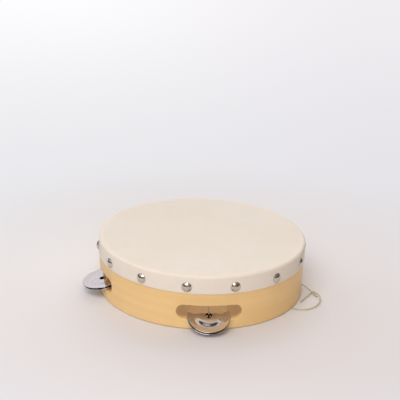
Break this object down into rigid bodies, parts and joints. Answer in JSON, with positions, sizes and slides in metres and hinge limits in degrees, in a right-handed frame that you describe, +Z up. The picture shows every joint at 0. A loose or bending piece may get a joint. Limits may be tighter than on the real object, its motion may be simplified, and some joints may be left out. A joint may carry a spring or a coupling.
{
  "type": "tambourine",
  "caption": "Round bent-wood hand drum with one tacked skin head, pairs of metal jingles on pins in slots round the hoop, and a hanging string.",
  "frame": {"origin": "on the hoop's axis, in the plane of its lower edge, which is the table", "axes": "+Z up out of the skin, +X through the middle of the plain stretch of hoop that the hand holds"},
  "size_m": [0.2234, 0.2074, 0.054],
  "materials": {
    "hoop_wood": "pale bent wood under a clear satin lacquer",
    "skin": "matt cream skin, faintly mottled",
    "tack_nickel": "nickel plate, a little dull",
    "jingle_nickel": "bright nickel plate with fine scratches",
    "pin_steel": "plain steel nail",
    "string_cotton": "pale waxed cotton twine"
  },
  "bodies": {
    "drum": {"hoop": "hoop_wood", "skin_head": "skin", "head_tacks": "tack_nickel", "jingle_pin_1": "pin_steel", "jingle_pin_2": "pin_steel", "jingle_pin_3": "pin_steel", "jingle_pin_4": "pin_steel", "string_loop": "string_cotton", "string_knot": "string_cotton"},
    "lower_1": {"jingle_lower_1": "jingle_nickel"},
    "upper_1": {"jingle_upper_1": "jingle_nickel"},
    "lower_2": {"jingle_lower_2": "jingle_nickel"},
    "upper_2": {"jingle_upper_2": "jingle_nickel"},
    "lower_3": {"jingle_lower_3": "jingle_nickel"},
    "upper_3": {"jingle_upper_3": "jingle_nickel"},
    "lower_4": {"jingle_lower_4": "jingle_nickel"},
    "upper_4": {"jingle_upper_4": "jingle_nickel"}
  },
  "joints": [
    {"name": "pair_1_lean", "type": "hinge", "parent": "drum", "child": "lower_1", "pos_m": [0.0485, -0.084, 0.0132], "axis": [-0.866, -0.5, 0], "range_deg": [0, 37.4]},
    {"name": "pair_1_part", "type": "slide", "parent": "lower_1", "child": "upper_1", "axis": [0, 0, 1], "range_m": [0, 0.002]},
    {"name": "pair_2_lean", "type": "hinge", "parent": "drum", "child": "lower_2", "pos_m": [-0.07431, -0.06235, 0.0132], "axis": [-0.6428, 0.766, 0], "range_deg": [0, 24.5]},
    {"name": "pair_2_part", "type": "slide", "parent": "lower_2", "child": "upper_2", "axis": [0, 0, 1], "range_m": [0, 0.002]},
    {"name": "pair_3_lean", "type": "hinge", "parent": "drum", "child": "lower_3", "pos_m": [-0.07431, 0.06235, 0.0132], "axis": [0.6428, 0.766, 0], "range_deg": [0, 24.5]},
    {"name": "pair_3_part", "type": "slide", "parent": "lower_3", "child": "upper_3", "axis": [0, 0, 1], "range_m": [0, 0.002]},
    {"name": "pair_4_lean", "type": "hinge", "parent": "drum", "child": "lower_4", "pos_m": [0.0485, 0.084, 0.0132], "axis": [0.866, -0.5, 0], "range_deg": [0, 37.4]},
    {"name": "pair_4_part", "type": "slide", "parent": "lower_4", "child": "upper_4", "axis": [0, 0, 1], "range_m": [0, 0.002]}
  ]
}
